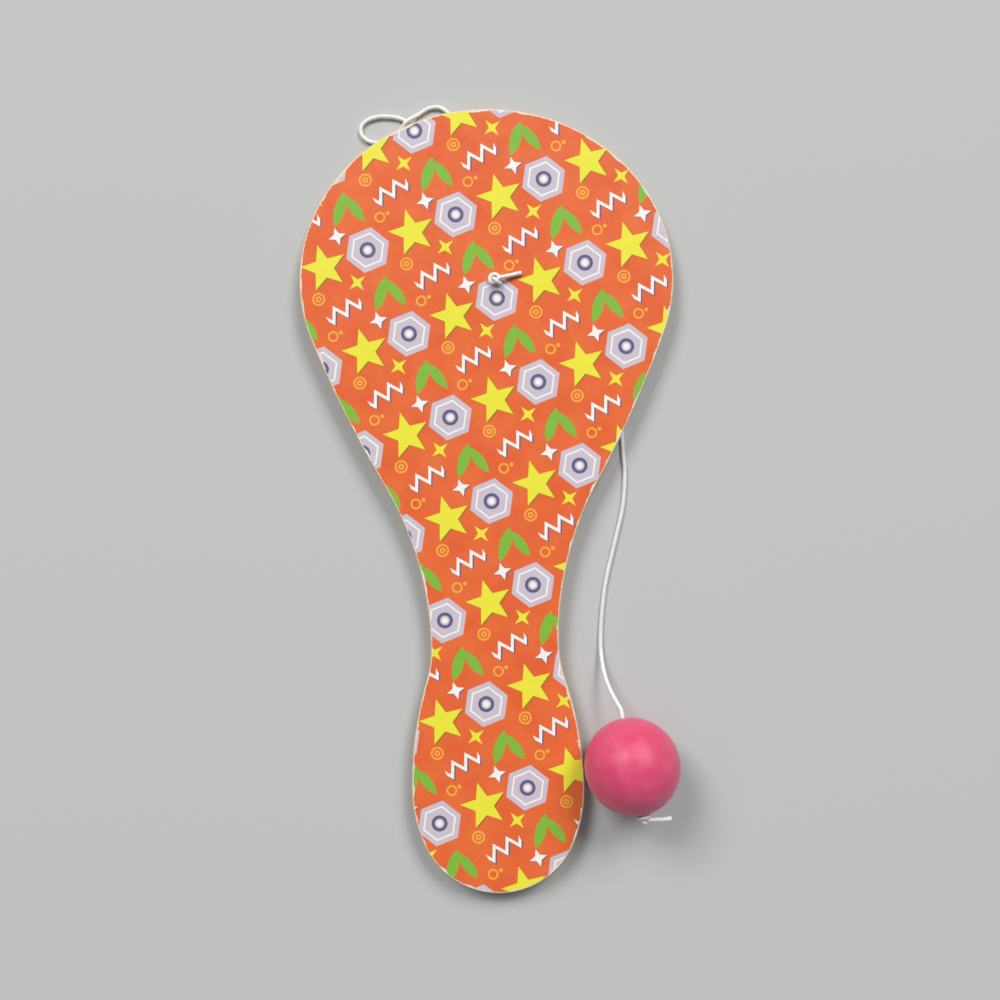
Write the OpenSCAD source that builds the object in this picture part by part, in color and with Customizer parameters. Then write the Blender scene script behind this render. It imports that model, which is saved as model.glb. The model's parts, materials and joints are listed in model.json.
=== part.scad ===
// Paddle ball: a flat wooden bat, a rubber ball and the elastic string that joins them.
// The bat lies with its printed face up. +Y runs from the grip to the head, +Z is up, and the
// origin is on the table under the middle of the bat's length. Lengths are in millimetres.

/* [Bat outline] */
// Width of the head at its widest line
head_w = 117; // [100:1:130]
// Height of the head's crown above its widest line
head_crown = 53.4; // [45:0.2:62]
// Radius of the head's side, just below the widest line
side_r = 49; // [42:1:57]
// Angle that the head's side turns through, in degrees
side_turn = 21; // [17:1:24]
// Radius of the long flank from the head towards the neck
flank_r = 340; // [280:5:400]
// Lean of the flank where it meets the neck's curve, in degrees
flank_turn = 29.6; // [27:0.2:32]
// Width of the neck
neck_w = 40.2; // [35:0.2:46]
// Width of the grip at its widest line
grip_w = 54; // [49:0.2:59]
// Distance from the neck to the grip's widest line
swell_l = 44.9; // [39:0.1:51]
// Radius of the grip's side, just below its widest line
grip_side_r = 43.3; // [41:0.1:50]
// Distance from the grip's widest line to its end
grip_end_l = 32.6; // [30:0.1:35]

/* [Bat layers] */
// Thickness of each outer ply
face_ply_t = 1.2; // [0.8:0.1:1.8]
// Thickness of the core ply
core_ply_t = 2.6; // [1.8:0.1:4]
// Radius that the sanded edge of the bat is rounded to
edge_r = 0.4; // [0.2:0.05:0.7]
// Thickness of the printed sheet on the hitting face
sheet_t = 0.15; // [0.1:0.05:0.3]
// Diameter of the string's hole through the bat
hole_d = 2.2; // [2.1:0.1:3]
// Distance of the hole from the bat's middle, along the head's widest line
hole_side = 2.2; // [0:0.1:5]

/* [Ball] */
// Diameter of the ball
ball_d = 29; // [24:0.5:34]
// Gap between the ball and the upper edge of the grip's side
ball_gap = 1.8; // [0.8:0.1:5]
// Distance of the ball above the grip's widest line, towards the head
ball_up = 8.5; // [0:0.5:14]
// Rise of the ball's bore from its string side to its knot side, in degrees
bore_rise = 12; // [6:1:18]
// Turn of the ball's bore away from the bat's length, in degrees
bore_yaw = 9; // [5:1:14]

/* [String] */
// Diameter of the elastic string
cord_d = 1.3; // [1.1:0.05:1.4]
// Diameter of the string where a knot holds it stretched
knot_d = 1; // [0.8:0.05:1.1]
// Length of the string's tail on the bat's face
bat_tail_l = 7; // [4:0.5:12]
// Length of the string's tail at the ball
ball_tail_l = 6.6; // [5:0.2:12]
// Turn of the tail on the bat's face from the bat's width, in degrees
bat_tail_turn = 13; // [-10:1:40]
// Turn of the tail at the ball from the level, in degrees
ball_tail_turn = 2; // [-10:1:20]
// Distance that the tail's end at the ball stands off from lying flat
ball_tail_off = 1.6; // [0:0.1:2.5]

/* [Clearances] */
// Gap between the bat's underside and the string that lies under it
under_gap = 0.05; // [0.05:0.01:0.1]
// Radial gap between the string and the ball's bore
bore_gap = 0.05; // [0.02:0.01:0.1]
// Gap between the strands of a knot
strand_gap = 0.1; // [0.06:0.02:0.3]
// Gap between a knot and the surface that it is pulled against
knot_seat = 0.05; // [0.05:0.01:0.1]

/* [Hidden] */
$fn = 96;

// A cut runs past the surface that it opens by this much.
overrun = 1;
// Longest straight step along a curve of the bat's outline.
outline_step = 2.6;
// Sides of the string's tube, and steps in each quarter of a small bend.
cord_sides = 8;
bend_steps = 4;
// Steps between two points of the string's run and of a knot, and where gaps are measured.
run_steps = 2;
knot_steps = 3;
gap_steps = 8;
// Points along the string that count as one bend when its gap to itself is measured.
gap_reach = 20;
// Part of the grip's swell that is still hollow, and the rest of it is full.
hollow_share = 0.25;
// Course of an overhand knot round its own stem, in shares of the distance between two
// strands: up the stem, over in an arch, down into one turn round the stem, and out
// between the stem and the arch. The last number is how far the string is thinned.
KNOT_SHARES = [
    [0, 0, 0, 0.8], [0, 0, 0.6, 1], [0.3, 0, 1.3, 1], [1, 0, 1.62, 1], [1.7, 0, 1.3, 1],
    [2.05, 0.15, 0.6, 1], [1.95, 0.65, 0.1, 1], [1.42, 1.25, 0, 1], [0.45, 1.58, 0, 1],
    [-0.57, 1.3, 0, 1], [-1.12, 0.53, 0, 1], [-1.06, -0.34, 0, 1], [-0.55, -0.95, 0.05, 1],
    [0.25, -1.08, 0.15, 1], [0.85, -0.65, 0.3, 1], [1.02, 0, 0.5, 1], [1.03, 0.62, 0.8, 1],
    [1.15, 1.3, 1.02, 1]];
// Where a knot's tail is measured, in shares of its length, and how far it still is there from
// the height of its end, in shares of the whole change in its height. The last number is how
// far the string is thinned.
TAIL_SHARES = [[0.1, 1, 0.7], [0.3, 0.7, 0], [0.6, 0.15, 0], [1, 0, 0]];
// Lean of a knot's tail from the side of its arch, in degrees.
knot_lean = 32;

cord_r = cord_d / 2;
ball_r = ball_d / 2;

// The bat's heights: the string lies on the table and the bat lies on the string.
bat_z = cord_d + under_gap;
core_z = bat_z + face_ply_t;
front_z = core_z + core_ply_t;
sheet_z = front_z + face_ply_t;
face_z = sheet_z + sheet_t;

// The flank's foot, then the neck's curve, which ends where the neck is narrowest.
side_x = head_w / 2 - side_r;
flank_x = side_x + (side_r - flank_r) * cos(side_turn);
foot_x = flank_x + flank_r * cos(flank_turn);
foot_drop = flank_r * sin(flank_turn) - (flank_r - side_r) * sin(side_turn);
neck_r = (foot_x - neck_w / 2) / (1 - cos(flank_turn));
neck_drop = foot_drop + neck_r * sin(flank_turn);

// The grip's swell is two arcs that meet at the same lean.
swell_turn = 2 * atan((grip_w - neck_w) / 2 / swell_l);
swell_r = swell_l / sin(swell_turn);
hollow_r = swell_r * hollow_share;
full_r = swell_r - hollow_r;

// The grip's end is an arc about the bat's axis that its sides run into.
grip_end_r = (2 * grip_side_r * grip_w / 2 - pow(grip_w / 2, 2) - pow(grip_end_l, 2))
    / (2 * (grip_side_r - grip_end_l));
end_turn = atan2(grip_end_l - grip_end_r, grip_side_r - grip_w / 2);

// The whole length follows from the curves, and the origin is halfway along it.
bat_l = head_crown + neck_drop + swell_l + grip_end_l;
head_y = bat_l / 2 - head_crown;
neck_y = head_y - neck_drop;
grip_y = neck_y - swell_l;
hole = [hole_side, head_y];

// The ball lies on the table beside the grip. Its bore points from the string to the knot.
ball_at = [grip_w / 2 + ball_gap + sqrt(pow(ball_r, 2) - pow(ball_r - face_z, 2)),
    grip_y + ball_up, ball_r];
bore_dir = [cos(bore_rise) * sin(bore_yaw), -cos(bore_rise) * cos(bore_yaw), sin(bore_rise)];
bore_in = ball_at - ball_r * bore_dir;

// The string's bend from its hole to the table, and its straight ends.
bend_r = cord_d;
stem_l = cord_d;
lead_l = 2 * cord_d;

// A knot's strands, and the heights of its lowest strand and of its tail above its seat.
knot_r = knot_d / 2;
strand_gap_l = knot_d + strand_gap;
knot_low = knot_seat + knot_r;
tail_low = knot_seat + cord_r;

// Route of the string on the table, from the bat's hole to the ball: x, y and the height that
// the string is lifted above lying flat.
ROUTE = [
    [-6, 94, 0], [-15, 112, 0], [-24, 121, 0], [-30.5, 123, 0], [-35.6, 122.4, 0],
    [-38.4, 120.5, 0], [-38.8, 117.8, 0], [-36.8, 115.5, 0], [-33, 114.8, 0],
    [-27.4, 117.4, 0], [-24, 120.6, 1.8], [-20, 123.6, 0], [-16.6, 125.4, 0],
    [-13, 125.2, 0], [-9.5, 122, 0], [-3, 114, 0], [9, 106, 0], [25, 97, 0], [37, 81, 0],
    [42, 60, 0], [41.5, 37, 0], [42, 16, 0], [42.5, 8, 0], [41.5, -3, 0], [38.5, -15, 0],
    [35.5, -27, 0], [34, -38, 0], [33.5, -47, 0.5], [34, -54, 3], [35.5, -59.5, 6.5]];

function unit(v) = v / norm(v);

// Points along an arc with the outward direction at each: [point, outward]. The arc's centre
// lies on the bat's side of it when r is positive, and outside when r is negative.
function arc_points(c, r, from, to) =
    let (n = ceil(abs(r * (to - from)) * PI / 180 / outline_step))
    [for (i = [1:n]) let (a = from + (to - from) * i / n)
        [c + r * [cos(a), sin(a)], [cos(a), sin(a)]]];

// Points along the crown, which is half of an ellipse, from its top to the head's right side.
function crown_points() =
    let (n = ceil(PI / 2 * head_w / 2 / outline_step))
    [for (i = [0:n]) let (a = 90 - 90 * i / n)
        [[head_w / 2 * cos(a), head_y + head_crown * sin(a)],
         unit([cos(a) / (head_w / 2), sin(a) / head_crown])]];

// The right half of the bat's outline, from the crown down to the end of the grip.
function half_outline() = concat(
    crown_points(),
    arc_points([side_x, head_y], side_r, 0, -side_turn),
    arc_points([flank_x, head_y + (flank_r - side_r) * sin(side_turn)], flank_r,
        -side_turn, -flank_turn),
    arc_points([neck_w / 2 + neck_r, neck_y], -neck_r, -flank_turn, 0),
    arc_points([neck_w / 2 + hollow_r, neck_y], -hollow_r, 0, swell_turn),
    arc_points([grip_w / 2 - full_r, grip_y], full_r, swell_turn, 0),
    arc_points([grip_w / 2 - grip_side_r, grip_y], grip_side_r, 0, -end_turn),
    arc_points([0, grip_y - grip_end_l + grip_end_r], grip_end_r, -end_turn, -90));

RIM = let (right = half_outline(), n = len(right))
    concat(right, [for (i = [n - 2:-1:1])
        [[-right[i][0].x, right[i][0].y], [-right[i][1].x, right[i][1].y]]]);

function outline(inset) = [for (q = RIM) q[0] - inset * q[1]];

// A plate with the bat's outline, whose lower or upper edge is rounded.
module ply(bottom, thick, round_low, round_high) {
    low = round_low ? [for (i = [0:bend_steps]) let (a = 90 * i / bend_steps)
        [bottom + edge_r * (1 - sin(a)), edge_r * (1 - cos(a))]] : [[bottom, 0]];
    high = round_high ? [for (i = [0:bend_steps]) let (a = 90 * i / bend_steps)
        [bottom + thick - edge_r * (1 - sin(a)), edge_r * (1 - cos(a))]]
        : [[bottom + thick, 0]];
    levels = concat([for (i = [len(low) - 1:-1:0]) low[i]], high);
    n = len(RIM);
    m = len(levels);
    points = [for (v = levels) let (ring = outline(v[1])) for (p = ring) [p.x, p.y, v[0]]];
    sides = [for (k = [0:m - 2]) for (i = [0:n - 1]) let (j = (i + 1) % n)
        [k * n + i, k * n + j, (k + 1) * n + j, (k + 1) * n + i]];
    // Strips straight across the bat, from its right edge to its left, close both flat sides.
    strips = [for (i = [0:n / 2 - 1])
        concat([i, i + 1], i + 1 < n / 2 ? [n - i - 1] : [], i > 0 ? [n - i] : [])];
    under = [for (s = strips) [for (k = [len(s) - 1:-1:0]) s[k]]];
    over = [for (s = strips) [for (i = s) (m - 1) * n + i]];
    polyhedron(points, concat(sides, under, over), convexity = 4);
}

module cord_hole() {
    translate([hole.x, hole.y, bat_z - overrun])
        cylinder(d = hole_d, h = face_z - bat_z + 2 * overrun);
}

// A tube swept along stops: x, y, z and radius. Each ring is turned as little as it can be
// from the one before, and the two ends are square to the string.
module cord_tube(stops) {
    n = len(stops);
    path = [for (q = stops) [q.x, q.y, q.z]];
    along = [for (i = [0:n - 1]) unit(path[min(i + 1, n - 1)] - path[max(i - 1, 0)])];
    first = unit(cross(along[0], abs(along[0].z) > 0.9 ? [1, 0, 0] : [0, 0, 1]));
    across = [for (i = 0, v = first; i < n; i = i + 1,
        v = i < n ? unit(v - (v * along[i]) * along[i]) : v) v];
    rings = [for (i = [0:n - 1]) let (side = cross(along[i], across[i]))
        for (k = [0:cord_sides - 1]) let (a = 360 * k / cord_sides)
            path[i] + stops[i][3] * (cos(a) * across[i] + sin(a) * side)];
    walls = [for (i = [0:n - 2]) for (k = [0:cord_sides - 1]) let (
        a = i * cord_sides + k, b = i * cord_sides + (k + 1) % cord_sides)
        each [[a, a + cord_sides, b + cord_sides], [a, b + cord_sides, b]]];
    start = [for (k = [0:cord_sides - 1]) k];
    finish = [for (k = [cord_sides - 1:-1:0]) (n - 1) * cord_sides + k];
    polyhedron(rings, concat(walls, [start], [finish]), convexity = 10);
}

// A point of a smooth curve through p1 and p2, at the fraction t between them.
function between(p0, p1, p2, p3, t) =
    0.5 * (2 * p1 + (p2 - p0) * t + (2 * p0 - 5 * p1 + 4 * p2 - p3) * t * t
        + (3 * p1 - p0 - 3 * p2 + p3) * t * t * t);

function smooth(stops, steps) = let (last = len(stops) - 1)
    concat([for (i = [0:last - 1]) for (k = [0:steps - 1]) between(
        stops[max(i - 1, 0)], stops[i], stops[i + 1], stops[min(i + 2, last)], k / steps)],
        [stops[last]]);

// The string's free run: out of the hole, round its bend onto the table, along the route,
// never below the table, and straight into the ball's bore.
function free_run(steps) =
    let (
        towards = unit([ROUTE[0].x, ROUTE[0].y] - hole),
        bend = [for (i = [0:bend_steps]) let (a = 90 * i / bend_steps)
            [hole.x + towards.x * bend_r * (1 - cos(a)),
             hole.y + towards.y * bend_r * (1 - cos(a)),
             cord_r + bend_r * (1 - sin(a)), cord_r]],
        lead = bore_in - lead_l * bore_dir,
        curve = smooth(concat([bend[bend_steps]],
            [for (p = ROUTE) [p.x, p.y, cord_r + p.z, cord_r]],
            [[lead.x, lead.y, lead.z, cord_r]]), steps))
    concat([bend[0] + [0, 0, stem_l, 0]], [for (i = [0:bend_steps - 1]) bend[i]],
        [for (p = curve) [p.x, p.y, max(p.z, cord_r), cord_r]],
        [[bore_in.x, bore_in.y, bore_in.z, cord_r]]);

// An overhand knot pulled against a face at z = 0. The string comes up through the origin
// from this far below, and leaves as a tail of this length, whose end stands this far off from
// lying flat.
function knot_run(below, tail_l, tail_off, steps) =
    let (
        turns = [for (q = KNOT_SHARES) [q.x * strand_gap_l, q.y * strand_gap_l,
            knot_low + q.z * strand_gap_l, cord_r + (knot_r - cord_r) * q[3]]],
        leave = turns[len(turns) - 1],
        tail_end = tail_low + tail_off,
        tail = [for (q = TAIL_SHARES) [leave.x + sin(knot_lean) * tail_l * q[0],
            leave.y + cos(knot_lean) * tail_l * q[0],
            tail_end + (leave.z - tail_end) * q[1], cord_r + (knot_r - cord_r) * q[2]]])
    concat([[0, 0, -below, cord_r], [0, 0, -below + stem_l / 2, cord_r]],
        smooth(concat([[0, 0, -knot_d / 2, cord_r]], turns, tail), steps));

// The least gap of a string to itself, measured between points that lie further apart along
// it than one bend.
function least_gap(stops) = min([for (i = [0:len(stops) - 1 - gap_reach])
    for (j = [i + gap_reach:len(stops) - 1]) let (a = stops[i], b = stops[j])
        norm([a.x - b.x, a.y - b.y, a.z - b.z]) - a[3] - b[3]]);

function run_length(stops) = let (steps = [for (i = [1:len(stops) - 1])
    norm([for (k = [0:2]) stops[i][k] - stops[i - 1][k]])]) steps * [for (v = steps) 1];

module front_sheet() {
    color([0.93, 0.33, 0.16]) difference() {
        translate([0, 0, sheet_z]) linear_extrude(sheet_t) polygon(outline(edge_r));
        cord_hole();
    }
}

module front_ply() {
    color([0.86, 0.73, 0.53]) difference() {
        ply(front_z, face_ply_t, false, true);
        cord_hole();
    }
}

module core_ply() {
    color([0.78, 0.62, 0.42]) difference() {
        translate([0, 0, core_z]) linear_extrude(core_ply_t) polygon(outline(0));
        cord_hole();
    }
}

module back_ply() {
    color([0.86, 0.73, 0.53]) difference() {
        ply(bat_z, face_ply_t, true, false);
        cord_hole();
    }
}

module paddle_knot() {
    below = face_z - cord_r - bend_r - stem_l;
    color([0.93, 0.93, 0.9]) translate([hole.x, hole.y, face_z])
        rotate(bat_tail_turn + knot_lean - 90)
            cord_tube(knot_run(below, bat_tail_l, 0, knot_steps));
}

module elastic_cord() {
    color([0.93, 0.93, 0.9]) cord_tube(free_run(run_steps));
}

// Turns +Z to the way that the ball's bore points, with +X as level as it can be.
module along_bore() {
    translate(ball_at) rotate([0, 0, bore_yaw]) rotate([90 - bore_rise, 0, 0]) children();
}

module cord_in_ball() {
    color([0.93, 0.93, 0.9]) along_bore() translate([0, 0, -ball_r])
        cylinder(d = cord_d, h = ball_d - stem_l);
}

module ball_knot() {
    color([0.93, 0.93, 0.9]) along_bore() translate([0, 0, ball_r])
        rotate(ball_tail_turn + knot_lean - 90)
            cord_tube(knot_run(stem_l, ball_tail_l, ball_tail_off, knot_steps));
}

module ball() {
    color([0.87, 0.2, 0.42]) difference() {
        translate(ball_at) sphere(d = ball_d);
        along_bore() translate([0, 0, -ball_r - overrun])
            cylinder(d = cord_d + 2 * bore_gap, h = ball_d + 2 * overrun);
    }
}

front_sheet();
front_ply();
core_ply();
back_ply();
paddle_knot();
elastic_cord();
cord_in_ball();
ball_knot();
ball();

union() {
    echo(bat_length = bat_l, free_run_length = run_length(free_run(gap_steps)),
        bat_knot_length = run_length(knot_run(stem_l, bat_tail_l, 0, gap_steps)),
        ball_knot_length = run_length(knot_run(stem_l, ball_tail_l, ball_tail_off, gap_steps)));
    echo(free_run_least_gap = least_gap(free_run(gap_steps)),
        bat_knot_least_gap = least_gap(knot_run(stem_l, bat_tail_l, 0, gap_steps)),
        ball_knot_least_gap = least_gap(
            knot_run(stem_l, ball_tail_l, ball_tail_off, gap_steps)));
}
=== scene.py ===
"""Paddle ball: a plywood bat with a printed face, a rubber ball and its elastic string."""

import json
import math

import bmesh
import bpy
from mathutils import Matrix, Vector


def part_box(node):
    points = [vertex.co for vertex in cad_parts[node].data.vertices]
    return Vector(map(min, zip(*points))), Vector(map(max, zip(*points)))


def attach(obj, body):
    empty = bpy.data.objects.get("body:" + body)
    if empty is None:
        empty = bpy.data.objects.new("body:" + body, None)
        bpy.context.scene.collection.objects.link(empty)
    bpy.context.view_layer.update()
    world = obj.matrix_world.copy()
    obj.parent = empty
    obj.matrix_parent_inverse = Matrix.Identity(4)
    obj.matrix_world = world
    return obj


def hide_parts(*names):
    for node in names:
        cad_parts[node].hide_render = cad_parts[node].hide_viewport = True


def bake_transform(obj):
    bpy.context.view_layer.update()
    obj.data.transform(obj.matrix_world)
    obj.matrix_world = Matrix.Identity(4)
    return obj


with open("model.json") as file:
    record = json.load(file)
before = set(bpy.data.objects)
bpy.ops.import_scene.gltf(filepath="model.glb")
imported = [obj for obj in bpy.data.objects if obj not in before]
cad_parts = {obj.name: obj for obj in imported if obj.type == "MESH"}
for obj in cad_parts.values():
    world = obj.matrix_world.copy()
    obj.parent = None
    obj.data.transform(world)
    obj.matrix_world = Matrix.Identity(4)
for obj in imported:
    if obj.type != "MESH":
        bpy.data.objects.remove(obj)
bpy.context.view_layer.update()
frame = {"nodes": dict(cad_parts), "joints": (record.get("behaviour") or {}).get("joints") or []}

MM = 0.001
joint = {each["name"]: each for each in frame["joints"]}

# Lengths are in millimetres, except for those of the lamps and the floor, in metres. The
# turns of knots and motifs are in degrees.

# The bat. HOLE is on its printed face, and RIM_W is the band that wears along cut edges.
BAT_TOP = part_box("front_sheet")[1].z / MM
HOLE = Vector(joint["ball_swing"]["pos_m"]) / MM
MERGE = 0.001
CREASE = math.radians(35)
RIM_W = 1.3

# The ball, and its bore, which points from the string's run to the knot. BORE_RING is how
# deep a ring of points lies inside each mouth.
BALL_AT = Vector(joint["ball_spin"]["pos_m"]) / MM
BALL_R = BALL_AT.z
BORE_WAY = Vector(joint["ball_spin"]["axis"]).normalized()
BORE_R = 0.7
BORE_RING = 3
MOUTH_EASE = 0.25
SEAM_PROUD = 0.03
SEAM_HALF_W = 0.3
PROFILE_STEPS = 90
ROUND_STEPS = 128

# The string's run. It meets its knots STEM_L above its bend under the bat, and STEM_L deep
# in the ball, and it goes into the ball along a straight lead.
CORD_R = 0.65
STEM_L = 1.3
BEND_R = 1.3
LEAD_L = 2.6
WAY_IN = BALL_AT - BALL_R * BORE_WAY
WAY_OUT = BALL_AT + (BALL_R - STEM_L) * BORE_WAY
LEAD_AT = WAY_IN - LEAD_L * BORE_WAY
TUBE_ROUNDNESS = 4
BEND_STEPS = 6
RUN_STEPS = 6
BORE_STEPS = 6

# The stops from the hole to the ball: x, y, and height over a string that lies flat
ROUTE = (
    (-6, 94, 0), (-15, 112, 0), (-24, 121, 0), (-30.5, 123, 0), (-35.6, 122.4, 0),
    (-38.4, 120.5, 0), (-38.8, 117.8, 0), (-36.8, 115.5, 0), (-33, 114.8, 0),
    (-27.4, 117.4, 0), (-24, 120.6, 1.8), (-20, 123.6, 0), (-16.6, 125.4, 0),
    (-13, 125.2, 0), (-9.5, 122, 0), (-3, 114, 0), (9, 106, 0), (25, 97, 0), (37, 81, 0),
    (42, 60, 0), (41.5, 37, 0), (42, 16, 0), (42.5, 8, 0), (41.5, -3, 0), (38.5, -15, 0),
    (35.5, -27, 0), (34, -38, 0), (33.5, -47, 0.5), (34, -54, 3), (35.5, -59.5, 6.5),
)

# The overhand knots. The radius of their strands is PLUMP more than in their solids,
# because the strands of a rubber knot press against each other. TAIL_SEAT is the gap
# under a tail's end, and tail_off adds to it.
KNOT_R = 0.5
PLUMP = 0.1
STRAND_GAP = 0.1
KNOT_LEAN = 32
KNOT_STEPS = 8
TAIL_SEAT = 0.05
BAT_KNOT = {"tail_l": 7, "tail_off": 0, "turn": 13}
BALL_KNOT = {"tail_l": 6.6, "tail_off": 1.6, "turn": 2}

# A knot's stops: x, y and height in strand pitches, and how far the string has thinned
KNOT_SHARES = (
    (0, 0, 0, 0.8), (0, 0, 0.6, 1), (0.3, 0, 1.3, 1), (1, 0, 1.62, 1), (1.7, 0, 1.3, 1),
    (2.05, 0.15, 0.6, 1), (1.95, 0.65, 0.1, 1), (1.42, 1.25, 0, 1), (0.45, 1.58, 0, 1),
    (-0.57, 1.3, 0, 1), (-1.12, 0.53, 0, 1), (-1.06, -0.34, 0, 1), (-0.55, -0.95, 0.05, 1),
    (0.25, -1.08, 0.15, 1), (0.85, -0.65, 0.3, 1), (1.02, 0, 0.5, 1), (1.03, 0.62, 0.8, 1),
    (1.15, 1.3, 1.02, 1),
)

# A tail's stops: how far along it, how much of its drop is left, and how far it is thinned
TAIL_SHARES = ((0.1, 1, 0.7), (0.3, 0.7, 0), (0.6, 0.15, 0), (1, 0, 0))


def srgb(red, green, blue):
    """A colour from 0 to 255 as Blender's linear colour."""
    def linear(value):
        value /= 255
        return value / 12.92 if value <= 0.04045 else ((value + 0.055) / 1.055) ** 2.4
    return (linear(red), linear(green), linear(blue), 1)


# Camera, light and floor

# The camera stands straight over the bat, as in the photograph, and sees VIEW_WIDTH of
# its face's plane
EYE_AT = (2.63, 0.3)
EYE_OVER_FACE = 300
VIEW_WIDTH = 311.98
EYE_ROLL = math.radians(-1.333)
SENSOR_W = 36

# Each lamp: its name, place in metres and power. The world's light is a weak cool fill.
LAMPS = (("key", (2.2, 3.6, 3.9), 208), ("fill", (-2.4, 3.4, 3.9), 194))
LAMP_SIZE = 2.1
WORLD_LIGHT = 0.24
COOL_WHITE = (0.95, 0.97, 1, 1)

# The floor fades between these shares of its half width into a world of its own colour
FLOOR_R = 1.1
FLOOR_FADE = (0.4, 0.95)
FLOOR_PAINT = srgb(190, 191, 190)
FAR_FLOOR = srgb(192, 194, 193)


def set_the_stage():
    """The camera, the world's light, two soft lamps and the floor."""
    scene = bpy.context.scene
    scene.view_settings.view_transform = "Standard"
    data = bpy.data.cameras.new("camera")
    data.sensor_width = SENSOR_W
    data.lens = SENSOR_W * EYE_OVER_FACE / VIEW_WIDTH
    data.clip_start, data.clip_end = 0.01, 20
    camera = bpy.data.objects.new("camera", data)
    camera.location = (EYE_AT[0] * MM, EYE_AT[1] * MM, (EYE_OVER_FACE + BAT_TOP) * MM)
    camera.rotation_euler = (0, 0, EYE_ROLL)
    scene.collection.objects.link(camera)
    scene.camera = camera

    world = bpy.data.worlds.new("studio")
    scene.world = world
    world.use_nodes = True
    tree = Tree(world.node_tree)
    seen = tree.add("LightPath", out="Is Camera Ray")
    background = world.node_tree.nodes["Background"]
    tree.feed(background.inputs["Color"], tree.blend(seen, COOL_WHITE, FAR_FLOOR))
    tree.feed(background.inputs["Strength"], tree.ramp(seen, 0, 1, WORLD_LIGHT, 1))

    for name, place, power in LAMPS:
        lamp = bpy.data.lights.new(name, "AREA")
        lamp.shape, lamp.size, lamp.energy = "SQUARE", LAMP_SIZE, power
        stand = bpy.data.objects.new(name, lamp)
        stand.location = place
        stand.rotation_euler = (-Vector(place)).to_track_quat("-Z", "Y").to_euler()
        scene.collection.objects.link(stand)

    bm = bmesh.new()
    bmesh.ops.create_grid(bm, x_segments=1, y_segments=1, size=FLOOR_R)
    finished(bm, "floor", plain_floor())


def plain_floor():
    """A pale table that fades out into a background as pale."""
    tree = new_material("pale table")
    away = tree.vector("LENGTH", tree.add("TexCoord", out="Object"))
    near, far = (FLOOR_R * share for share in FLOOR_FADE)
    return tree.surface({
        "Base Color": FLOOR_PAINT,
        "Alpha": tree.ramp(away, near, far, 1, 0),
        "Roughness": 0.75,
        "Specular IOR Level": 0.2,
    })


# Node helpers


class Tree:
    """Adds nodes to a node tree. An input is a socket to join, or a plain value."""

    def __init__(self, node_tree, material=None):
        self.nodes, self.links, self.material = node_tree.nodes, node_tree.links, material

    def feed(self, socket, value):
        if isinstance(value, bpy.types.NodeSocket):
            self.links.new(value, socket)
        else:
            socket.default_value = value

    def add(self, kind, inputs=None, out=0, **settings):
        made = self.nodes.new("ShaderNode" + kind)
        for name, value in settings.items():
            setattr(made, name, value)
        for name, value in (inputs or {}).items():
            self.feed(made.inputs[name], value)
        return made.outputs[out]

    def math(self, operation, *values):
        return self.add("Math", dict(enumerate(values)), operation=operation)

    def weighed(self, *parts):
        """The sum of values, each given with its weight."""
        total, *rest = (self.math("MULTIPLY", value, weight) for value, weight in parts)
        for each in rest:
            total = self.math("ADD", total, each)
        return total

    def vector(self, operation, *values, **named):
        out = "Value" if operation in ("DOT_PRODUCT", "LENGTH") else "Vector"
        inputs = dict(enumerate(values)) | named
        return self.add("VectorMath", inputs, out, operation=operation)

    def turned(self, point, angle):
        """The point turned about Z."""
        return self.add("VectorRotate", {"Vector": point, "Angle": angle},
                        rotation_type="Z_AXIS")

    def split(self, vector):
        apart = self.nodes.new("ShaderNodeSeparateXYZ")
        self.feed(apart.inputs[0], vector)
        return apart.outputs

    def join(self, x=0.0, y=0.0, z=0.0):
        return self.add("CombineXYZ", {"X": x, "Y": y, "Z": z})

    def blend(self, share, below, above):
        """The colour below, covered by the colour above as far as the share says."""
        return self.add("Mix", {0: share, 6: below, 7: above}, 2, data_type="RGBA")

    def ramp(self, value, low, high, to_low=0.0, to_high=1.0):
        return self.add("MapRange", {"Value": value, "From Min": low, "From Max": high,
                                     "To Min": to_low, "To Max": to_high})

    def noise(self, point, scale, detail=2.0, roughness=0.5):
        return self.add("TexNoise", {"Vector": point, "Scale": scale, "Detail": detail,
                                     "Roughness": roughness})

    def group(self, shared, **inputs):
        """A shared node group's outputs. An input's name has _ for its space."""
        made = self.nodes.new("ShaderNodeGroup")
        made.node_tree = shared
        for name, value in inputs.items():
            self.feed(made.inputs[name.replace("_", " ")], value)
        return made.outputs

    def bump(self, height, strength, depth):
        """A normal from a height, which is as deep as the depth in millimetres."""
        return self.add("Bump", {"Height": height, "Strength": strength,
                                 "Distance": depth * MM})

    def surface(self, sockets):
        """Feeds the material's shader, and gives the material."""
        for name, value in sockets.items():
            self.feed(self.nodes["Principled BSDF"].inputs[name], value)
        return self.material


def new_material(name):
    """The tree of a new material."""
    material = bpy.data.materials.new(name)
    material.use_nodes = True
    return Tree(material.node_tree, material)


def new_group(name, inputs, outputs):
    """A shared node group. Gives it, its tree, its inputs and the socket list to fill."""
    shared = bpy.data.node_groups.new(name, "ShaderNodeTree")
    kinds = {"v": "NodeSocketVector", "f": "NodeSocketFloat", "c": "NodeSocketColor"}
    for side, sockets in (("INPUT", inputs), ("OUTPUT", outputs)):
        for title, kind in sockets:
            shared.interface.new_socket(title, in_out=side, socket_type=kinds[kind])
    given = shared.nodes.new("NodeGroupInput").outputs
    wanted = shared.nodes.new("NodeGroupOutput").inputs
    return shared, Tree(shared), given, wanted


def in_millimetres(tree):
    point = tree.add("TexCoord", out="Object")
    return tree.vector("SCALE", point, Scale=1 / MM)


# The print is a generic all-over pattern of its own. It repeats by two steps.

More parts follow.
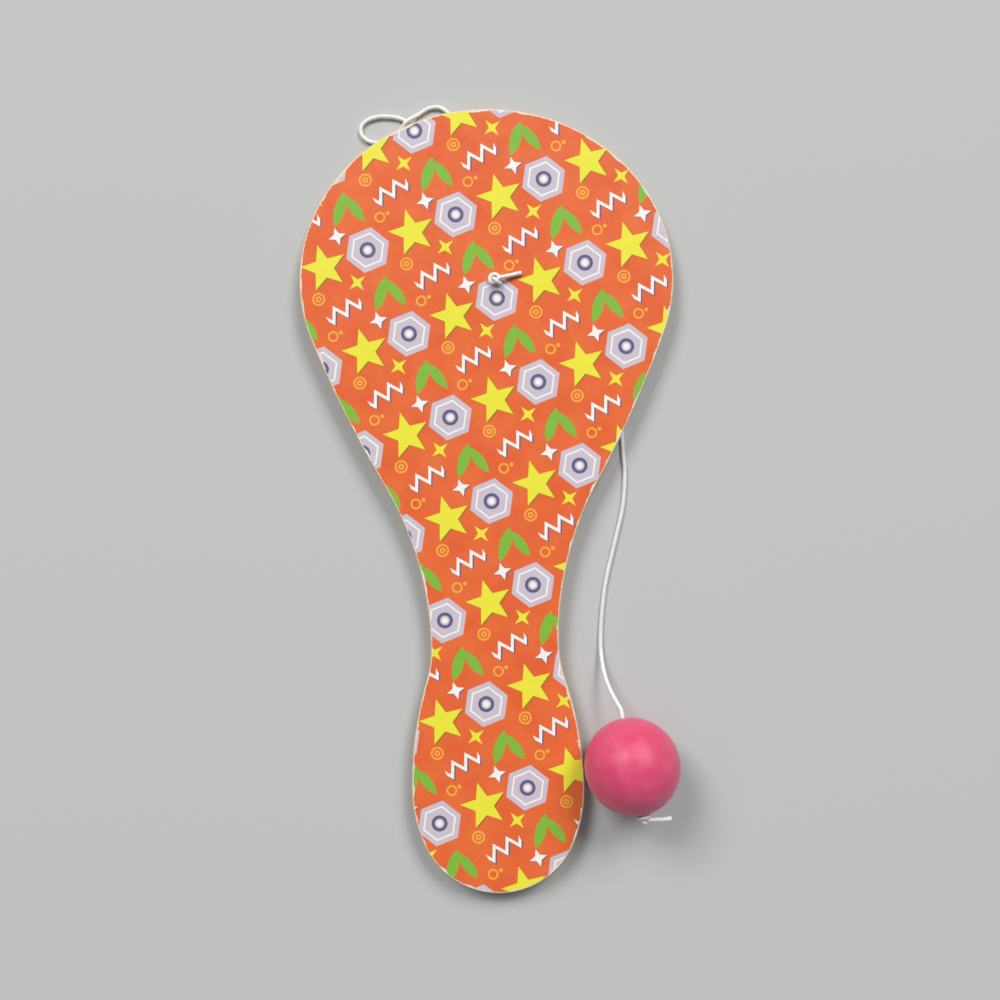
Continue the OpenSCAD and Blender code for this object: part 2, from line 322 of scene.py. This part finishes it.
REPEAT_A = Vector((29, 6, 0))
REPEAT_B = Vector((-8, 28, 0))
PRINT_TURN = math.radians(-9)
INK_EDGE = 0.09

ORANGE = srgb(232, 108, 50)
DEEP_ORANGE = srgb(226, 94, 43)
LAVENDER = srgb(203, 192, 204)
SLATE = srgb(96, 90, 128)
WHITE_INK = srgb(246, 240, 234)
YELLOW = srgb(235, 229, 56)
OLIVE = srgb(160, 116, 28)
GREEN = srgb(127, 184, 54)
AMBER = srgb(244, 172, 58)
PAPER = srgb(242, 238, 229)
PAPER_FIBRE = srgb(216, 206, 190)

# Each motif is a shape and its sizes
OUTER_HEXAGON = ("star", {"Points": 6, "Tip": 7.2, "Notch": 6.25})
HEXAGON_LINE = ("star", {"Points": 6, "Tip": 5.6, "Notch": 4.8})
INNER_HEXAGON = ("star", {"Points": 6, "Tip": 5, "Notch": 4.3})
WIDE_RING = ("ring", {"Radius": 2, "Half_width": 0.5})
WIDE_DOT = ("ring", {"Radius": 0, "Half_width": 0.95})
BIG_STAR = ("star", {"Points": 5, "Tip": 7.4, "Notch": 3.1})
LONG_LEAF = ("leaf", {"Half_length": 5.6, "Half_width": 1.75})
SHORT_LEAF = ("leaf", {"Half_length": 5, "Half_width": 1.6})
ZIGZAG_SHADE = ("zigzag", {"Half_length": 5.9, "Pitch": 4.7, "Height": 3.9,
                           "Half_width": 0.95})
ZIGZAG = ("zigzag", {"Half_length": 5.9, "Pitch": 4.7, "Height": 3.9, "Half_width": 0.9})
SMALL_RING = ("ring", {"Radius": 1.4, "Half_width": 0.28})
SMALL_DOT = ("ring", {"Radius": 0, "Half_width": 0.6})
PALE_SPARK = ("star", {"Points": 4, "Tip": 2.8, "Notch": 1.15})
TARGET_RING = ("ring", {"Radius": 1.75, "Half_width": 0.28})
TARGET_HEART = ("ring", {"Radius": 0.65, "Half_width": 0.28})
BRIGHT_SPARK = ("star", {"Points": 4, "Tip": 3.1, "Notch": 1})

# Each print is one ink: motif, centre, turn and colour. Later ones lie over earlier ones.
PRINTS = (
    (OUTER_HEXAGON, (0, 0), 12, LAVENDER),
    (HEXAGON_LINE, (0, 0), 12, WHITE_INK),
    (INNER_HEXAGON, (0, 0), 12, LAVENDER),
    (WIDE_RING, (0, 0), 0, SLATE),
    (WIDE_DOT, (0, 0), 0, WHITE_INK),
    (BIG_STAR, (15, 2.6), 24, OLIVE),
    (BIG_STAR, (14.6, 3), 24, YELLOW),
    (LONG_LEAF, (-6.3, 14), 64, GREEN),
    (SHORT_LEAF, (-1.6, 13.4), 118, GREEN),
    (ZIGZAG_SHADE, (10.7, 16.5), 20, SLATE),
    (ZIGZAG, (10.35, 16.95), 20, WHITE_INK),
    (SMALL_RING, (5.6, 9.4), 0, AMBER),
    (SMALL_DOT, (8.2, 10.2), 0, AMBER),
    (PALE_SPARK, (20.7, 11.5), 8, SLATE),
    (PALE_SPARK, (20.4, 11.85), 8, WHITE_INK),
    (TARGET_RING, (3.2, 21.6), 0, AMBER),
    (TARGET_HEART, (3.2, 21.6), 0, AMBER),
    (BRIGHT_SPARK, (16, 24.6), 30, YELLOW),
)


def place_group():
    """Where a point lies on the nearest repeat of a motif, in the motif's own turn."""
    shared, tree, given, wanted = new_group(
        "print place", (("Point", "v"), ("Centre", "v"), ("Turn", "f")), (("Local", "v"),))
    area = REPEAT_A.cross(REPEAT_B).z
    to_a = Vector((REPEAT_B.y, -REPEAT_B.x, 0)) / area
    to_b = Vector((-REPEAT_A.y, REPEAT_A.x, 0)) / area
    away = tree.vector("SUBTRACT", given["Point"], given["Centre"])
    parts = []
    for across, step in ((to_a, REPEAT_A), (to_b, REPEAT_B)):
        turns = tree.vector("DOT_PRODUCT", away, across)
        left = tree.math("SUBTRACT", turns, tree.math("ROUND", turns))
        parts.append(tree.vector("SCALE", step, Scale=left))
    near = tree.vector("ADD", *parts)
    back = tree.math("MULTIPLY", given["Turn"], -1)
    tree.feed(wanted["Local"], tree.turned(near, back))
    return shared


def star_group():
    """Distance from the edge of a star. A polygon is a star with shallow notches."""
    shared, tree, given, wanted = new_group(
        "star edge", (("Local", "v"), ("Points", "f"), ("Tip", "f"), ("Notch", "f")),
        (("Distance", "f"),))
    x, y, _ = tree.split(given["Local"])
    reach = tree.vector("LENGTH", tree.join(x, y))
    half = tree.math("DIVIDE", math.pi, given["Points"])
    angle = tree.math("PINGPONG", tree.math("ARCTAN2", y, x), half)
    spot = tree.join(tree.math("MULTIPLY", reach, tree.math("COSINE", angle)),
                     tree.math("MULTIPLY", reach, tree.math("SINE", angle)))
    tip = tree.join(given["Tip"])
    notch = tree.join(tree.math("MULTIPLY", given["Notch"], tree.math("COSINE", half)),
                      tree.math("MULTIPLY", given["Notch"], tree.math("SINE", half)))
    side = tree.vector("SUBTRACT", notch, tip)
    out = tree.vector("NORMALIZE", tree.vector("CROSS_PRODUCT", side, (0, 0, 1)))
    tree.feed(wanted["Distance"], tree.vector(
        "DOT_PRODUCT", tree.vector("SUBTRACT", spot, tip), out))
    return shared


def leaf_group():
    """Distance from the edge of a leaf, which two equal arcs make."""
    shared, tree, given, wanted = new_group(
        "leaf edge", (("Local", "v"), ("Half length", "f"), ("Half width", "f")),
        (("Distance", "f"),))
    length, width = given["Half length"], given["Half width"]
    radius = tree.math("DIVIDE", tree.math(
        "ADD", tree.math("POWER", length, 2), tree.math("POWER", width, 2)),
        tree.math("MULTIPLY", width, 2))
    x, y, _ = tree.split(given["Local"])
    shifted = tree.math("ADD", tree.math("ABSOLUTE", y), tree.math("SUBTRACT", radius, width))
    tree.feed(wanted["Distance"], tree.math(
        "SUBTRACT", tree.vector("LENGTH", tree.join(x, shifted)), radius))
    return shared


def ring_group():
    """Distance from the edge of a ring. A dot is a ring of no radius."""
    shared, tree, given, wanted = new_group(
        "ring edge", (("Local", "v"), ("Radius", "f"), ("Half width", "f")),
        (("Distance", "f"),))
    x, y, _ = tree.split(given["Local"])
    off = tree.math("SUBTRACT", tree.vector("LENGTH", tree.join(x, y)), given["Radius"])
    tree.feed(wanted["Distance"], tree.math(
        "SUBTRACT", tree.math("ABSOLUTE", off), given["Half width"]))
    return shared


def zigzag_group():
    """Distance from the edge of a zigzag along X, with upright ends."""
    shared, tree, given, wanted = new_group(
        "zigzag edge", (("Local", "v"), ("Half length", "f"), ("Pitch", "f"),
                        ("Height", "f"), ("Half width", "f")), (("Distance", "f"),))
    x, y, _ = tree.split(given["Local"])
    half = tree.math("MULTIPLY", given["Pitch"], 0.5)
    share = tree.math("DIVIDE", tree.math("PINGPONG", x, half), half)
    line = tree.math("MULTIPLY", tree.math("SUBTRACT", share, 0.5), given["Height"])
    off = tree.math("SUBTRACT", tree.math("ABSOLUTE", tree.math("SUBTRACT", y, line)),
                    given["Half width"])
    ends = tree.math("SUBTRACT", tree.math("ABSOLUTE", x), given["Half length"])
    tree.feed(wanted["Distance"], tree.math("MAXIMUM", off, ends))
    return shared


def ink_group():
    """One ink laid over what is printed already, inside a motif's edge."""
    shared, tree, given, wanted = new_group(
        "print ink", (("Under", "c"), ("Ink", "c"), ("Distance", "f")), (("Color", "c"),))
    cover = tree.ramp(given["Distance"], -INK_EDGE, INK_EDGE, 1, 0)
    tree.feed(wanted["Color"], tree.blend(cover, given["Under"], given["Ink"]))
    return shared


def bare_paper(tree, point):
    """Where the print is chipped off the cut edges, as a share. The chips come in runs."""
    rim = tree.add("Attribute", out="Fac", attribute_name="rim")
    runs = tree.ramp(tree.noise(point, scale=0.16, detail=1), 0.5, 0.72)
    fibres = tree.noise(point, scale=1.9, detail=3, roughness=0.65)
    return tree.ramp(tree.weighed((rim, 1), (runs, 0.4), (fibres, 0.5)), 1.12, 1.17)


def all_over_print(tree, point):
    """The printed colour: uneven orange, the motifs and a fine speckle."""
    edges = {"star": star_group(), "leaf": leaf_group(), "ring": ring_group(),
             "zigzag": zigzag_group()}
    place, ink = place_group(), ink_group()
    laid = tree.turned(point, PRINT_TURN)
    uneven = tree.noise(point, scale=0.11, detail=3)
    colour = tree.blend(tree.ramp(uneven, 0.35, 0.7), ORANGE, DEEP_ORANGE)
    for (shape, sizes), centre, turn, tint in PRINTS:
        local = tree.group(place, Point=laid, Centre=(*centre, 0), Turn=math.radians(turn))
        edge = tree.group(edges[shape], Local=local["Local"], **sizes)
        colour = tree.group(ink, Under=colour, Ink=tint, Distance=edge["Distance"])["Color"]
    speckle = tree.noise(point, scale=6)
    return tree.blend(tree.ramp(speckle, 0.5, 0.8, 0, 0.07), colour, WHITE_INK)


def printed_paper():
    """The sheet on the hitting face: glossy print on top, bare paper where it is cut."""
    tree = new_material("printed paper")
    point = in_millimetres(tree)
    bare = bare_paper(tree, point)
    paper = tree.blend(tree.ramp(tree.noise(point, scale=2.6), 0.35, 0.65), PAPER, PAPER_FIBRE)
    gloss = tree.ramp(tree.noise(point, scale=0.4, detail=3), 0.3, 0.7, 0.3, 0.42)
    height = tree.weighed((tree.noise(point, scale=0.09), 3),
                          (tree.noise(point, scale=2.5), 0.05), (bare, -0.35))
    return tree.surface({
        "Base Color": tree.blend(bare, all_over_print(tree, point), paper),
        "Roughness": tree.weighed((gloss, 1), (bare, 0.45)),
        "Specular IOR Level": 0.4,
        "Coat Weight": tree.ramp(bare, 0, 1, 0.25, 0),
        "Coat Roughness": 0.22,
        "Normal": tree.bump(height, strength=0.25, depth=0.3),
    })


# Wood

# Each wood has a light and a dark tone, and the width of its growth rings
FACE_WOOD = (srgb(231, 209, 172), srgb(196, 162, 116), 3.4)
CORE_WOOD = (srgb(206, 172, 128), srgb(156, 114, 72), 2.1)


def grain_group():
    """Peeled veneer with its grain along Y: growth rings, fine streaks and pores."""
    shared, tree, given, wanted = new_group(
        "wood grain", (("Point", "v"), ("Light", "c"), ("Dark", "c"), ("Ring", "f")),
        (("Color", "c"), ("Height", "f")))

    def drawn_out(point, *stretch):
        return tree.vector("MULTIPLY", point, stretch)

    long = drawn_out(given["Point"], 1, 0.045, 3)
    drift = tree.noise(drawn_out(given["Point"], 0.03, 0.0045, 0.2), scale=1, roughness=0.4)
    x, _, z = tree.split(long)
    across = tree.weighed((x, 0.12), (z, 0.12), (drift, 44))
    turns = tree.math("FRACT", tree.math("DIVIDE", across, given["Ring"]))
    late = tree.math("MULTIPLY", tree.ramp(turns, 0.35, 0.9), tree.ramp(turns, 0.9, 1, 1, 0))
    streaks = tree.noise(long, scale=2.2, detail=4, roughness=0.6)
    pores = tree.ramp(tree.noise(drawn_out(long, 3, 1.6, 1), scale=2.4, detail=1), 0.62, 0.72)
    patches = tree.noise(drawn_out(given["Point"], 1, 0.3, 1), scale=0.05)
    shade = tree.weighed((late, 0.34), (streaks, 0.6), (patches, 0.3))
    colour = tree.blend(tree.ramp(shade, 0.3, 1.05), given["Light"], given["Dark"])
    tree.feed(wanted["Color"], tree.blend(tree.math("MULTIPLY", pores, 0.35), colour,
                                          given["Dark"]))
    tree.feed(wanted["Height"], tree.weighed((streaks, 0.4), (pores, -0.6)))
    return shared


def plywood(name, grain, wood, grain_turn):
    """One ply, darker on its sawn edge, with its grain turned from the bat's length."""
    tree = new_material(name)
    light, dark, ring = wood
    veneer = tree.group(grain, Point=tree.turned(in_millimetres(tree), grain_turn),
                        Light=light, Dark=dark, Ring=ring)
    normal = tree.split(tree.add("TexCoord", out="Normal"))
    side = tree.ramp(tree.math("ABSOLUTE", normal["Z"]), 0.2, 0.8, 0.3, 0)
    return tree.surface({
        "Base Color": tree.blend(side, veneer["Color"], dark),
        "Roughness": tree.ramp(veneer["Height"], -0.3, 0.4, 0.75, 0.55),
        "Specular IOR Level": 0.3,
        "Normal": tree.bump(veneer["Height"], strength=0.5, depth=0.12),
    })


# Rubber

STRING_WHITE = srgb(238, 238, 234)
STRING_CLOUD = srgb(223, 224, 219)
BALL_PINK = srgb(212, 62, 105)
BALL_BLOOM = srgb(226, 130, 158)
BALL_SPECK = srgb(170, 16, 66)
BALL_SHEEN = srgb(255, 205, 220)


def string_rubber():
    """Pale matt rubber, a little cloudy, which lets some light in."""
    tree = new_material("string rubber")
    point = in_millimetres(tree)
    cloud = tree.ramp(tree.noise(point, scale=0.7, detail=3), 0.3, 0.7)
    return tree.surface({
        "Base Color": tree.blend(cloud, STRING_WHITE, STRING_CLOUD),
        "Roughness": 0.45,
        "Subsurface Weight": 0.35,
        "Subsurface Radius": (0.9, 0.85, 0.75),
        "Subsurface Scale": MM,
        "Normal": tree.bump(tree.noise(point, scale=3.2), strength=0.3, depth=0.06),
    })


def ball_rubber():
    """Pink rubber with a pale bloom on it and fine dark specks."""
    tree = new_material("ball rubber")
    point = in_millimetres(tree)
    bloom = tree.ramp(tree.noise(point, scale=0.16, detail=4, roughness=0.6), 0.42, 0.75)
    specks = tree.ramp(tree.noise(point, scale=3.4, detail=1), 0.66, 0.74)
    colour = tree.blend(tree.math("MULTIPLY", bloom, 0.3), BALL_PINK, BALL_BLOOM)
    height = tree.weighed((tree.noise(point, scale=1.1, detail=3), 0.6), (specks, -0.5))
    return tree.surface({
        "Base Color": tree.blend(tree.math("MULTIPLY", specks, 0.18), colour, BALL_SPECK),
        "Roughness": tree.ramp(bloom, 0, 1, 0.42, 0.6),
        "Sheen Weight": 0.2,
        "Sheen Roughness": 0.6,
        "Sheen Tint": BALL_SHEEN,
        "Subsurface Weight": 0.45,
        "Subsurface Radius": (1, 0.25, 0.35),
        "Subsurface Scale": 4 * MM,
        "Normal": tree.bump(height, strength=0.35, depth=0.08),
    })


# Shapes


def finished(bm, name, material, smooth=False):
    """Turns a bmesh in metres into an object that stands at the frame's origin."""
    mesh = bpy.data.meshes.new(name)
    bm.to_mesh(mesh)
    bm.free()
    mesh.materials.append(material)
    if smooth:
        mesh.shade_smooth()
    piece = bpy.data.objects.new(name, mesh)
    bpy.context.scene.collection.objects.link(piece)
    return piece


def along_bore():
    """Turns +Z to the way that the bore points, with +X level, about the ball's centre."""
    level = Vector((-BORE_WAY.y, BORE_WAY.x, 0)).normalized()
    turned = Matrix((level, BORE_WAY.cross(level), BORE_WAY)).transposed()
    return Matrix.Translation(BALL_AT) @ turned.to_4x4()


def between(p0, p1, p2, p3, t):
    """The smooth curve from p1 to p2, at the share t of its way."""
    return 0.5 * (2 * p1 + (p2 - p0) * t + (2 * p0 - 5 * p1 + 4 * p2 - p3) * t * t
                  + (3 * p1 - p0 - 3 * p2 + p3) * t ** 3)


def smooth_line(stops, steps):
    """A smooth curve through stops, each a place and a radius."""
    stops = [Vector(stop) for stop in stops]
    last = len(stops) - 1
    line = [between(stops[max(i - 1, 0)], stops[i], stops[i + 1], stops[min(i + 2, last)],
                    k / steps) for i in range(last) for k in range(steps)]
    return line + [stops[last]]


def tube(name, line, material):
    """A rubber tube with cut ends along a line of places and radii, in millimetres."""
    data = bpy.data.curves.new(name, "CURVE")
    data.dimensions = "3D"
    data.bevel_depth = CORD_R * MM
    data.bevel_resolution = TUBE_ROUNDNESS
    data.use_fill_caps = True
    spline = data.splines.new("POLY")
    spline.points.add(len(line) - 1)
    for point, stop in zip(spline.points, line):
        point.co = (*(stop.xyz * MM), 1)
        point.radius = stop.w / CORD_R
    curve = bpy.data.objects.new(name + "_line", data)
    bpy.context.scene.collection.objects.link(curve)
    graph = bpy.context.evaluated_depsgraph_get()
    bm = bmesh.new()
    bm.from_mesh(bpy.data.meshes.new_from_object(curve.evaluated_get(graph)))
    bpy.data.objects.remove(curve)
    bmesh.ops.remove_doubles(bm, verts=bm.verts, dist=MERGE * MM)
    bmesh.ops.recalc_face_normals(bm, faces=bm.faces)
    return finished(bm, name, material, smooth=True)


def free_run():
    """The string's line, from inside the hole to its knot's end of the ball's bore."""
    towards = (Vector(ROUTE[0]).xy - HOLE.xy).normalized()
    quarter = [math.pi / 2 * i / BEND_STEPS for i in range(BEND_STEPS + 1)]
    bend = [(HOLE.x + towards.x * BEND_R * (1 - math.cos(a)),
             HOLE.y + towards.y * BEND_R * (1 - math.cos(a)),
             CORD_R + BEND_R * (1 - math.sin(a)), CORD_R) for a in quarter]
    run = smooth_line([bend[-1]] + [(x, y, CORD_R + z, CORD_R) for x, y, z in ROUTE]
                      + [(*LEAD_AT, CORD_R)], RUN_STEPS)
    # The curve would dip into the table beside its humps
    for stop in run:
        stop.z = max(stop.z, CORD_R)
    stem = Vector(bend[0]) + Vector((0, 0, STEM_L, 0))
    bore = [Vector((*WAY_IN.lerp(WAY_OUT, i / BORE_STEPS), CORD_R))
            for i in range(BORE_STEPS + 1)]
    return [stem] + [Vector(stop) for stop in bend[:-1]] + run + bore


def knot_line(below, at, tail_l, tail_off, turn):
    """A knot's line, from its stem below the face that it lies on to its tail's end."""
    pitch = 2 * KNOT_R + STRAND_GAP
    low, tail_end = KNOT_R + PLUMP, TAIL_SEAT + CORD_R + tail_off
    thinning = low - CORD_R
    stops = [(0, 0, -KNOT_R, CORD_R)]
    stops += [(x * pitch, y * pitch, low + z * pitch, CORD_R + thinning * thin)
              for x, y, z, thin in KNOT_SHARES]
    x, y, z, _ = stops[-1]
    lean = math.radians(KNOT_LEAN)
    stops += [(x + math.sin(lean) * tail_l * along, y + math.cos(lean) * tail_l * along,
               tail_end + (z - tail_end) * high, CORD_R + thinning * thin)
              for along, high, thin in TAIL_SHARES]
    line = [Vector((0, 0, -below, CORD_R)), Vector((0, 0, -below + STEM_L / 2, CORD_R))]
    line += smooth_line(stops, KNOT_STEPS)
    place = at @ Matrix.Rotation(math.radians(turn + KNOT_LEAN - 90), 4, "Z")
    return [Vector((*(place @ stop.xyz), stop.w)) for stop in line]


def rubber_ball(material):
    """A ball spun about its bore, with eased mouths and a fine moulding line."""
    body_r = BALL_R - SEAM_PROUD
    mouth = math.asin((BORE_R + MOUTH_EASE) / BALL_R)
    lip_z = body_r * math.cos(mouth) - MOUTH_EASE
    bm = bmesh.new()
    low_ring = bm.verts.new((BORE_R, 0, BORE_RING - BALL_R))
    low_lip = bm.verts.new((BORE_R, 0, -lip_z))
    low_rim = bm.verts.new((body_r * math.sin(mouth), 0, -body_r * math.cos(mouth)))
    sweep = bmesh.ops.spin(bm, geom=[low_rim], cent=(0, 0, 0), axis=(0, -1, 0),
                           angle=math.pi - 2 * mouth, steps=PROFILE_STEPS)
    high_rim = next(e for e in sweep["geom_last"] if isinstance(e, bmesh.types.BMVert))
    high_lip = bm.verts.new((BORE_R, 0, lip_z))
    high_ring = bm.verts.new((BORE_R, 0, BALL_R - BORE_RING))
    for ends in ((low_ring, low_lip), (low_lip, low_rim), (high_rim, high_lip),
                 (high_lip, high_ring), (high_ring, low_ring)):
        bm.edges.new(ends)
    for vert in bm.verts:
        if abs(vert.co.z) < SEAM_HALF_W and vert.co.x > BORE_R + MOUTH_EASE:
            vert.co.x += SEAM_PROUD
    bmesh.ops.spin(bm, geom=bm.verts[:] + bm.edges[:], cent=(0, 0, 0), axis=(0, 0, 1),
                   angle=2 * math.pi, steps=ROUND_STEPS, use_merge=True)
    bmesh.ops.remove_doubles(bm, verts=bm.verts, dist=MERGE / 10)
    bmesh.ops.recalc_face_normals(bm, faces=bm.faces)
    bmesh.ops.transform(bm, matrix=Matrix.Scale(MM, 4) @ along_bore(), verts=bm.verts)
    return finished(bm, "rubber_ball", material, smooth=True)


def joined_copy(name):
    """A bmesh of a CAD node, with its loose triangles joined."""
    bm = bmesh.new()
    bm.from_mesh(frame["nodes"][name].data)
    bmesh.ops.remove_doubles(bm, verts=bm.verts, dist=MERGE * MM)
    return bm


def add_rim(bm):
    """A band along every edge of the printed side, as an attribute from 1 at the cut to 0."""
    rim = bm.verts.layers.float.new("rim")
    for vert in bm.verts:
        vert[rim] = 1
    printed = [face for face in bm.faces if face.normal.z > 0.9]
    bmesh.ops.inset_region(bm, faces=printed, thickness=RIM_W * MM, use_boundary=True,
                           use_even_offset=True)
    for face in printed:
        for vert in face.verts:
            vert[rim] = 0


def stand_in(piece, body, node):
    """Puts a piece on its body, in the place of its CAD node."""
    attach(piece, body)
    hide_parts(node)


def bat_layer(name, title, material):
    """A layer of the bat in its own finish, shaded smooth round its outline."""
    bm = joined_copy(name)
    if name == "front_sheet":
        add_rim(bm)
    piece = finished(bm, title, material, smooth=True)
    # Normals that came with the CAD's triangles would keep each of them flat
    given_normals = piece.data.attributes.get("custom_normal")
    if given_normals:
        piece.data.attributes.remove(given_normals)
    piece.data.set_sharp_from_angle(angle=CREASE)
    stand_in(piece, "paddle", name)


set_the_stage()

# The string's run crosses from one body to the next, and each knot rides on one of them
string_finish = string_rubber()
run = free_run()
string = tube("string", run, string_finish)
hole_stem = BAT_TOP - CORD_R - BEND_R - STEM_L
bat_knot = tube("bat_knot", knot_line(hole_stem, Matrix.Translation(HOLE), **BAT_KNOT),
                string_finish)
exit_face = along_bore() @ Matrix.Translation((0, 0, BALL_R))
tied_end = tube("tied_end", knot_line(STEM_L, exit_face, **BALL_KNOT), string_finish)
stand_in(bat_knot, "string", "paddle_knot")
stand_in(tied_end, "string_end", "ball_knot")
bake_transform(string)
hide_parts("elastic_cord", "cord_in_ball")

stand_in(rubber_ball(ball_rubber()), "ball", "ball")

# The bat from its printed face down. The core's grain runs across the others'.
grain = grain_group()
face_wood = plywood("face plywood", grain, FACE_WOOD, 0)
core_wood = plywood("core plywood", grain, CORE_WOOD, math.pi / 2)
bat_layer("front_sheet", "printed_sheet", printed_paper())
bat_layer("front_ply", "face_veneer", face_wood)
bat_layer("core_ply", "core_veneer", core_wood)
bat_layer("back_ply", "back_veneer", face_wood)
